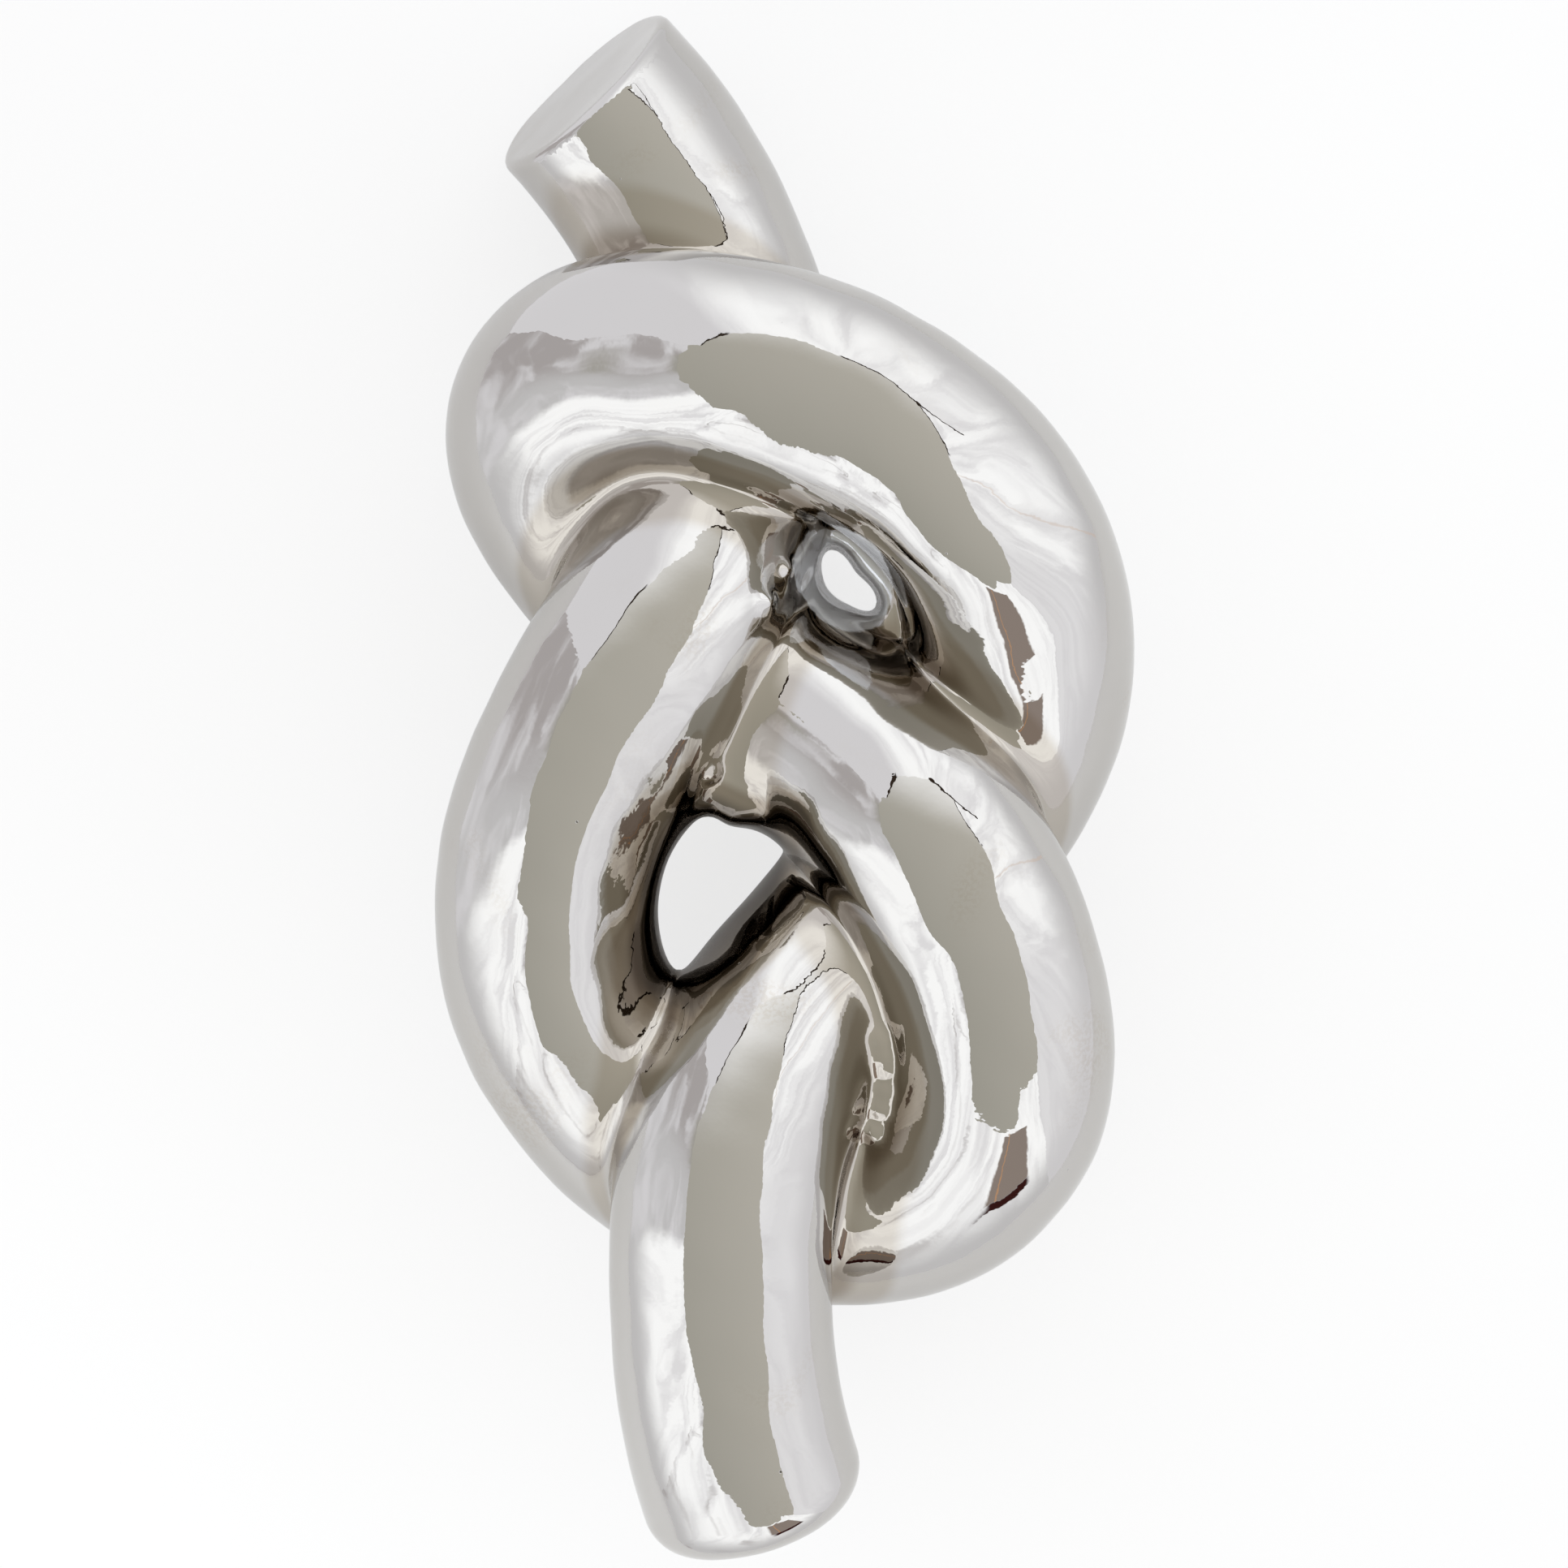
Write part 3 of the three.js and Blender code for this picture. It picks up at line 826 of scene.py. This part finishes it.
def plain_mesh(name, places, faces):
    mesh = bpy.data.meshes.new(name)
    mesh.from_pydata((np.asarray(places) * MM).tolist(), [], faces)
    mesh.polygons.foreach_set("use_smooth", np.ones(len(mesh.polygons), bool))
    return mesh


def add_piece(mesh, node, material):
    """Puts a mesh in the scene in place of a CAD node."""
    piece = bpy.data.objects.new(mesh.name, mesh)
    bpy.context.scene.collection.objects.link(piece)
    mesh.materials.append(material)
    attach(piece, "root")
    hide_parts(node)


# Nodes

def node_math(tree, operation, *inputs):
    node = tree.nodes.new("ShaderNodeMath")
    node.operation = operation
    for socket, value in zip(node.inputs, inputs):
        feed(tree, socket, value)
    return node.outputs[0]


def feed(tree, socket, value):
    """Links a socket to another node's output, or sets its value."""
    if isinstance(value, bpy.types.NodeSocket):
        tree.links.new(value, socket)
    else:
        socket.default_value = value


def node_mix(tree, share, first, second):
    """A colour that goes from the first to the second as share goes from 0 to 1."""
    node = tree.nodes.new("ShaderNodeMix")
    node.data_type = "RGBA"
    feed(tree, node.inputs["Factor"], share)
    feed(tree, node.inputs[6], first)
    feed(tree, node.inputs[7], second)
    return node.outputs[2]


def node_step(tree, value, low, high):
    """0 below low, 1 above high, and smooth between."""
    node = tree.nodes.new("ShaderNodeMapRange")
    node.interpolation_type = "SMOOTHSTEP"
    feed(tree, node.inputs["Value"], value)
    node.inputs["From Min"].default_value = low
    node.inputs["From Max"].default_value = high
    return node.outputs["Result"]


def node_noise(tree, place, scale, detail=2.0, distortion=0.0):
    node = tree.nodes.new("ShaderNodeTexNoise")
    feed(tree, node.inputs["Vector"], place)
    node.inputs["Scale"].default_value = scale
    node.inputs["Detail"].default_value = detail
    node.inputs["Distortion"].default_value = distortion
    return node.outputs["Fac"]


def node_bump(tree, height, distance, below=None):
    """A normal tilted by a height that is given in metres when multiplied by distance."""
    node = tree.nodes.new("ShaderNodeBump")
    node.inputs["Distance"].default_value = distance
    feed(tree, node.inputs["Height"], height)
    if below is not None:
        feed(tree, node.inputs["Normal"], below)
    return node.outputs["Normal"]


def node_place(tree):
    """Position on the object, in metres."""
    return tree.nodes.new("ShaderNodeTexCoord").outputs["Object"]


def new_material(name):
    material = bpy.data.materials.new(name)
    material.use_nodes = True
    return material, material.node_tree, material.node_tree.nodes["Principled BSDF"]


# Materials

def eye_ring(tree, place):
    """1 round the small eye, where the lustre stopped short and the pale glaze shows."""
    split = tree.nodes.new("ShaderNodeSeparateXYZ")
    tree.links.new(place, split.inputs[0])
    x, y, _ = split.outputs
    along_x = node_math(tree, "SUBTRACT", x, GLAZE_RING["centre"][0] * MM)
    along_y = node_math(tree, "SUBTRACT", y, GLAZE_RING["centre"][1] * MM)
    cosine, sine = math.cos(GLAZE_RING["turn"]), math.sin(GLAZE_RING["turn"])
    across = node_math(tree, "MULTIPLY_ADD", along_x, cosine, node_math(tree, "MULTIPLY", along_y, sine))
    length = node_math(tree, "MULTIPLY_ADD", along_y, cosine, node_math(tree, "MULTIPLY", along_x, -sine))
    across = node_math(tree, "DIVIDE", across, GLAZE_RING["half_width"] * MM)
    length = node_math(tree, "DIVIDE", length, GLAZE_RING["half_length"] * MM)
    across_squared = node_math(tree, "POWER", across, 2.0)
    length_squared = node_math(tree, "POWER", length, 2.0)
    far = node_math(tree, "SQRT", node_math(tree, "ADD", across_squared, length_squared))
    uneven = node_noise(tree, place, RING_SCALE, detail=3.0)
    ragged = node_math(tree, "MULTIPLY_ADD", uneven, RING_RAGGED, -RING_RAGGED / 2)
    return node_step(tree, node_math(tree, "ADD", far, ragged), *RING_EDGE)


def bare_glaze(tree, place, depth):
    """Pale glaze with brown smudges, and the same brown painted as shade in hollows."""
    smudge = node_step(tree, node_noise(tree, place, SMUDGE_SCALE, detail=5.0, distortion=1.0), *SMUDGE_EDGE)
    glaze = node_mix(tree, node_math(tree, "MULTIPLY", smudge, SMUDGE_SHARE), GLAZE, GLAZE_SMUDGE_AND_SHADE)
    # Painted shade: the smudge brown mixed in where the surface closes in
    shade = node_math(tree, "MULTIPLY", node_step(tree, depth, *GLAZE_SHADE_RANGE), GLAZE_SHADE_SHARE)
    return node_mix(tree, shade, glaze, GLAZE_SMUDGE_AND_SHADE)


def pinhole_dots(tree, place):
    """1 in the pinholes: small round dots in some of the cells."""
    cells = tree.nodes.new("ShaderNodeTexVoronoi")
    feed(tree, cells.inputs["Vector"], place)
    cells.inputs["Scale"].default_value = SPECK_SCALE
    chance = tree.nodes.new("ShaderNodeSeparateColor")
    tree.links.new(cells.outputs["Color"], chance.inputs[0])
    kept = node_math(tree, "GREATER_THAN", chance.outputs[0], SPECK_LEFT_OUT)
    return node_math(tree, "MULTIPLY", node_step(tree, cells.outputs["Distance"], *SPECK_EDGE), kept)


def lustre_material():
    """A mirror of uneven thickness, with browner and darker shade painted in hollows and round the large
    eye's throat, with pinholes, and bare glaze round the small eye.
    """
    material, tree, shader = new_material("silver_lustre")
    place = node_place(tree)
    clouds = node_noise(tree, place, CLOUD_SCALE, detail=3.0, distortion=0.6)
    grain = node_noise(tree, place, GRAIN_SCALE, detail=4.0)
    thin_clouds = node_step(tree, clouds, *THIN_IN_CLOUDS)
    thin = node_math(tree, "MULTIPLY", thin_clouds, node_step(tree, grain, *THIN_IN_GRAIN))
    colour = node_mix(tree, clouds, LUSTRE_COOL, LUSTRE_WARM)
    colour = node_mix(tree, node_math(tree, "MULTIPLY", thin, THIN_SHARE), colour, LUSTRE_THIN)
    # Painted shade: darker, browner lustre where the surface closes in
    shade_attribute = tree.nodes.new("ShaderNodeAttribute")
    shade_attribute.attribute_name = "hollow_shade"
    depth = shade_attribute.outputs["Fac"]
    colour = node_mix(tree, node_step(tree, depth, *SHADED_HOLLOW), colour, LUSTRE_SHADED)
    colour = node_mix(tree, node_step(tree, depth, *DEEP_SHADE_RANGE), colour, LUSTRE_DEEP_SHADE)
    # Painted shade: darkest lustre round the large eye's throat
    colour = node_mix(tree, node_step(tree, depth, *THROAT_SHADE_RANGE), colour, LUSTRE_THROAT_SHADE)
    pinholes = pinhole_dots(tree, place)
    colour = node_mix(tree, node_math(tree, "MULTIPLY", pinholes, SPECK_SHARE), colour, SPECK)
    ring = eye_ring(tree, place)
    colour = node_mix(tree, ring, colour, bare_glaze(tree, place, depth))
    feed(tree, shader.inputs["Base Color"], colour)
    feed(tree, shader.inputs["Metallic"], node_math(tree, "MULTIPLY_ADD", ring, GLAZE_GLOSS - 1, 1.0))
    haze = node_step(tree, node_noise(tree, place, HAZE_SCALE, detail=4.0, distortion=0.8), *HAZE_EDGE)
    rough = node_math(tree, "MULTIPLY_ADD", haze, ROUGH_HAZE, ROUGH_CLEAN)
    rough = node_math(tree, "MULTIPLY_ADD", thin, ROUGH_THIN, rough)
    feed(tree, shader.inputs["Roughness"], node_math(tree, "MULTIPLY_ADD", ring, ROUGH_GLAZE, rough))
    dimples = node_bump(tree, node_noise(tree, place, DIMPLE_SCALE, detail=2.0), DIMPLE_HEIGHT * MM)
    pits = node_math(tree, "MULTIPLY", pinholes, -1.0)
    feed(tree, shader.inputs["Normal"], node_bump(tree, pits, PIT_DEPTH * MM, dimples))
    return material


def slip_material():
    material, tree, shader = new_material("fired_slip")
    place = node_place(tree)
    patches = node_noise(tree, place, SLIP_PATCH_SCALE, detail=4.0)
    grit = node_noise(tree, place, SLIP_GRIT_SCALE, detail=3.0)
    feed(tree, shader.inputs["Base Color"], node_mix(tree, patches, SLIP_PALE, SLIP_DARK))
    feed(tree, shader.inputs["Roughness"], node_math(tree, "MULTIPLY_ADD", grit, SLIP_ROUGH_GRIT, SLIP_ROUGH))
    feed(tree, shader.inputs["Normal"], node_bump(tree, grit, SLIP_GRIT_HEIGHT * MM))
    return material


def felt_material():
    material, tree, shader = new_material("felt")
    place = node_place(tree)
    fibres = node_noise(tree, place, FELT_FIBRE_SCALE, detail=5.0, distortion=2.5)
    shade = node_noise(tree, place, FELT_SHADE_SCALE, detail=3.0)
    colour = node_mix(tree, shade, FELT_DARK, FELT_MID)
    feed(tree, shader.inputs["Base Color"], node_mix(tree, fibres, colour, FELT_FIBRE))
    shader.inputs["Roughness"].default_value = 1.0
    shader.inputs["Sheen Weight"].default_value = FELT_SHEEN
    shader.inputs["Specular IOR Level"].default_value = FELT_SPECULAR
    feed(tree, shader.inputs["Normal"], node_bump(tree, fibres, FELT_FIBRE_HEIGHT * MM))
    return material


# The knot's pieces
surface, triangles = surface_mesh()
names, scores = piece_scores(surface)
labels = absorb_small_islands(scores.argmax(1), edges_of(triangles))
surface, triangles, face_labels = part_along_borders(surface, triangles, labels, scores)
surface, normals = settle(surface, PROJECTIONS)
# How much shade to paint on each point
hollow_shade = hollow_shade_amounts(surface, normals)
lustre = lustre_material()
for number, name in enumerate(names):
    own = triangles[face_labels == number]
    add_piece(shell_mesh(name + "_shell", surface, normals, hollow_shade, own), name, lustre)
random_draw = np.random.default_rng(SEED + 1)
fired_slip = slip_material()
for name, station in JOINTS.items():
    add_piece(slip_ring_mesh(name + "_bead", station, random_draw), name, fired_slip)
felt = felt_material()
for name in FELT_PADS:
    add_piece(felt_pad_mesh(name, random_draw), name, felt)


# Studio

def between(tree, value, low, high, edge):
    """1 where a value lies between two limits, with edges that are this soft."""
    above = node_step(tree, value, low - edge / 2, low + edge / 2)
    below = node_step(tree, value, high + edge / 2, high - edge / 2)
    return node_math(tree, "MULTIPLY", above, below)


def studio_world():
    """What shows through the tent's opening, brighter towards +X and +Y. Degrees are from straight up."""
    world = bpy.data.worlds.new("studio")
    bpy.context.scene.world = world
    world.use_nodes = True
    tree = world.node_tree
    direction = tree.nodes.new("ShaderNodeTexCoord").outputs["Generated"]
    split = tree.nodes.new("ShaderNodeSeparateXYZ")
    tree.links.new(direction, split.inputs[0])
    x, y, z = split.outputs
    tilt = node_math(tree, "DEGREES", node_math(tree, "ARCCOSINE", z))
    flat = node_math(tree, "SQRT", node_math(tree, "MULTIPLY_ADD", x, x, node_math(tree, "MULTIPLY", y, y)))
    stretch = node_math(tree, "DIVIDE", tilt, node_math(tree, "MAXIMUM", flat, LEAST_FLAT))
    across = node_math(tree, "MULTIPLY", x, stretch)
    along = node_math(tree, "MULTIPLY", y, stretch)
    level = node_math(tree, "MULTIPLY_ADD", along, OPENING_RISE_ALONG, OPENING_LEVEL)
    level = node_math(tree, "MULTIPLY_ADD", across, OPENING_RISE_ACROSS, level)
    opening = node_mix(tree, level, OPENING_DARK, OPENING_BRIGHT)
    beyond = node_mix(tree, node_step(tree, across, *OPENING_FOLD), CLOTH_WHITE, CLOTH_FOLD)
    opening = node_mix(tree, node_step(tree, along, *OPENING_ENDS), opening, beyond)
    camera = tree.nodes.new("ShaderNodeLightPath").outputs["Is Camera Ray"]
    feed(tree, tree.nodes["Background"].inputs["Color"], node_mix(tree, camera, opening, BACKDROP))


def cloth_place(tree):
    """Position in the tent, in millimetres, as three sockets and as one vector."""
    scale = tree.nodes.new("ShaderNodeVectorMath")
    scale.operation = "SCALE"
    scale.inputs["Scale"].default_value = 1 / MM
    tree.links.new(node_place(tree), scale.inputs[0])
    split = tree.nodes.new("ShaderNodeSeparateXYZ")
    tree.links.new(scale.outputs[0], split.inputs[0])
    return scale.outputs[0], *split.outputs


def folded_cloth(tree, place, up):
    """White cloth with soft upright folds, less bright towards the floor."""
    stretch = tree.nodes.new("ShaderNodeVectorMath")
    stretch.operation = "MULTIPLY"
    stretch.inputs[1].default_value = FOLD_STRETCH
    tree.links.new(place, stretch.inputs[0])
    waves = node_noise(tree, stretch.outputs[0], FOLD_SCALE, detail=4.0, distortion=1.2)
    folds = node_math(tree, "MULTIPLY", node_step(tree, waves, *FOLD_EDGE), FOLD_SHARE)
    cloth = node_mix(tree, folds, CLOTH_WHITE, CLOTH_FOLD)
    return node_mix(tree, node_step(tree, up, *CLOTH_LOW_BELOW), cloth, CLOTH_LOW)


def ragged_above(tree, place, up, width, bottom):
    """1 above a line that wanders by up to this width. The line is a height or a socket."""
    uneven = node_noise(tree, place, HEM_SCALE, detail=3.0)
    return node_math(tree, "GREATER_THAN", up, node_math(tree, "MULTIPLY_ADD", uneven, width, bottom))


def left_wall(tree):
    place, _, y, z = cloth_place(tree)
    uneven = node_noise(tree, place, LEFT_WANDER_SCALE, detail=2.0)
    wander = node_math(tree, "MULTIPLY_ADD", uneven, LEFT_WANDER, -LEFT_WANDER / 2)
    shaded = node_step(tree, node_math(tree, "ADD", y, wander), *LEFT_SHADED)
    streak = node_noise(tree, place, LEFT_STREAK_SCALE, detail=2.0, distortion=0.8)
    streak = node_step(tree, streak, *LEFT_STREAK)
    deep = node_step(tree, y, *LEFT_DEEP)
    shade = node_mix(tree, streak, node_mix(tree, deep, CLOTH_LOW, CLOTH_LILAC), CLOTH_FOLD)
    cloth = node_mix(tree, shaded, folded_cloth(tree, place, z), shade)
    dim_along = between(tree, y, LEFT_DIM_FROM, LEFT_DIM_TO, LEFT_DIM_SOFT)
    dim = node_math(tree, "MULTIPLY", dim_along, node_step(tree, z, LEFT_DIM_LEVEL, TENT_TOP))
    return node_mix(tree, dim, cloth, OPENING_DARK)


def right_wall(tree):
    place, _, y, z = cloth_place(tree)
    dim = node_math(tree, "MULTIPLY", node_step(tree, y, *RIGHT_DIM), RIGHT_DIM_SHARE)
    cloth = node_mix(tree, dim, folded_cloth(tree, place, z), CLOTH_FOLD)
    seam = between(tree, y, SEAM_AT, SEAM_AT + SEAM_WIDTH, THREAD_SOFT)
    cloth = node_mix(tree, node_math(tree, "MULTIPLY", seam, SEAM_SHARE), cloth, CLOTH_SEAM)
    hem = ragged_above(tree, place, z, RIGHT_HEM_WIDTH, TENT_TOP - RIGHT_HEM_WIDTH)
    hem = node_math(tree, "MULTIPLY", node_step(tree, y, *RIGHT_HEM_BEYOND), hem)
    return node_mix(tree, hem, cloth, HEM)


def back_screen(tree):
    place, x, _, z = cloth_place(tree)
    cloth = node_mix(tree, node_step(tree, x, *SCREEN_DIM), folded_cloth(tree, place, z), CLOTH_FOLD)
    rise_start = SCREEN_TOP + SCREEN_RISE * SCREEN_RISES_FROM - SCREEN_HEM
    rising = node_math(tree, "MULTIPLY_ADD", x, -SCREEN_RISE, rise_start)
    left_hem = ragged_above(tree, place, z, SCREEN_HEM, rising)
    left_part = node_step(tree, x, SCREEN_RISES_FROM, SCREEN_RISES_FROM - SCREEN_HEM_SOFT)
    left_hem = node_math(tree, "MULTIPLY", left_hem, left_part)
    right_hem = ragged_above(tree, place, z, SCREEN_RIGHT_HEM_WIDTH, SCREEN_TOP - SCREEN_RIGHT_HEM_WIDTH)
    right_hem = node_math(tree, "MULTIPLY", right_hem, node_step(tree, x, *SCREEN_RIGHT_HEM))
    return node_mix(tree, node_math(tree, "MAXIMUM", left_hem, right_hem), cloth, HEM)


def front_wall(tree):
    place, x, _, z = cloth_place(tree)
    streak = node_noise(tree, place, FRONT_STREAK_SCALE, detail=2.0, distortion=0.8)
    streak = node_step(tree, streak, *FRONT_STREAK)
    streak = node_math(tree, "MULTIPLY", node_step(tree, x, *FRONT_STREAKED), streak)
    cloth = node_mix(tree, streak, folded_cloth(tree, place, z), CLOTH_LILAC)
    strap_across = between(tree, x, STRAP_LEFT, STRAP_RIGHT, STRAP_SOFT)
    strap_up = between(tree, z, STRAP_BOTTOM, STRAP_TOP, STRAP_LINE_SOFT)
    strap = node_math(tree, "MULTIPLY", strap_across, strap_up)
    cord = between(tree, x, CORD_AT, CORD_AT + CORD_WIDTH, THREAD_SOFT)
    corded = node_mix(tree, node_math(tree, "MULTIPLY", cord, CORD_SHARE), STRAP, CORD)
    cloth = node_mix(tree, strap, cloth, corded)
    edge_across = between(tree, x, STRAP_LEFT + STRAP_EDGE_INSET, STRAP_RIGHT, STRAP_EDGE_SOFT)
    edge_up = between(tree, z, STRAP_BOTTOM - STRAP_EDGE_WIDTH, STRAP_BOTTOM, STRAP_LINE_SOFT)
    return node_mix(tree, node_math(tree, "MULTIPLY", edge_across, edge_up), cloth, STRAP_EDGE)


def tent_wall(name, corners, colour_of):
    """One wall of the tent. It shines, and only mirrors and the floor see it."""
    mesh = plain_mesh(name, corners, [list(range(len(corners)))])
    wall = bpy.data.objects.new(name, mesh)
    bpy.context.scene.collection.objects.link(wall)
    wall.visible_camera = False
    material, tree, shader = new_material(name)
    tree.nodes.remove(shader)
    shine = tree.nodes.new("ShaderNodeEmission")
    feed(tree, shine.inputs["Color"], colour_of(tree))
    tree.links.new(shine.outputs[0], tree.nodes["Material Output"].inputs["Surface"])
    mesh.materials.append(material)


def down_to_floor(edge):
    """A wall's upper edge, as places along it and heights, with two corners on the floor below its ends."""
    return [(edge[-1][0], 0), (edge[0][0], 0)] + edge


def tent():
    tent_wall("tent_left", [(TENT_LEFT, y, z) for y, z in down_to_floor(LEFT_EDGE)], left_wall)
    tent_wall("tent_right", [(TENT_RIGHT, y, z) for y, z in down_to_floor(RIGHT_EDGE)], right_wall)
    tent_wall("tent_screen", [(x, SCREEN_AT, z) for x, z in down_to_floor(SCREEN_EDGE)], back_screen)
    tent_wall("tent_front", [(x, TENT_FRONT, z) for x, z in down_to_floor(FRONT_EDGE)], front_wall)


def floor_plane():
    half = FLOOR_HALF
    corners = [(-half, -half, 0), (half, -half, 0), (half, half, 0), (-half, half, 0)]
    mesh = plain_mesh("floor", corners, [(0, 1, 2, 3)])
    floor = bpy.data.objects.new("floor", mesh)
    bpy.context.scene.collection.objects.link(floor)
    material, tree, shader = new_material("white_floor")
    shader.inputs["Base Color"].default_value = FLOOR_COLOUR
    shader.inputs["Roughness"].default_value = FLOOR_ROUGH
    shader.inputs["Specular IOR Level"].default_value = 0.0
    white = tree.nodes.new("ShaderNodeEmission")
    path = tree.nodes.new("ShaderNodeLightPath")
    lift = node_math(tree, "MULTIPLY", path.outputs["Is Camera Ray"], FLOOR_LIFT)
    lift = node_math(tree, "MULTIPLY_ADD", path.outputs["Is Glossy Ray"], FLOOR_LIFT_IN_MIRROR, lift)
    mix = tree.nodes.new("ShaderNodeMixShader")
    feed(tree, mix.inputs[0], lift)
    tree.links.new(shader.outputs[0], mix.inputs[1])
    tree.links.new(white.outputs[0], mix.inputs[2])
    tree.links.new(mix.outputs[0], tree.nodes["Material Output"].inputs["Surface"])
    mesh.materials.append(material)


def overhead_camera():
    data = bpy.data.cameras.new("overhead")
    camera = bpy.data.objects.new("overhead", data)
    bpy.context.scene.collection.objects.link(camera)
    camera.location = (0, 0, CAMERA_HEIGHT * MM)
    data.sensor_width = SENSOR_WIDTH
    data.lens = SENSOR_WIDTH * FIELD_DISTANCE / FIELD_WIDTH
    bpy.context.scene.camera = camera


studio_world()
tent()
floor_plane()
overhead_camera()
bpy.context.scene.view_settings.view_transform = "Standard"
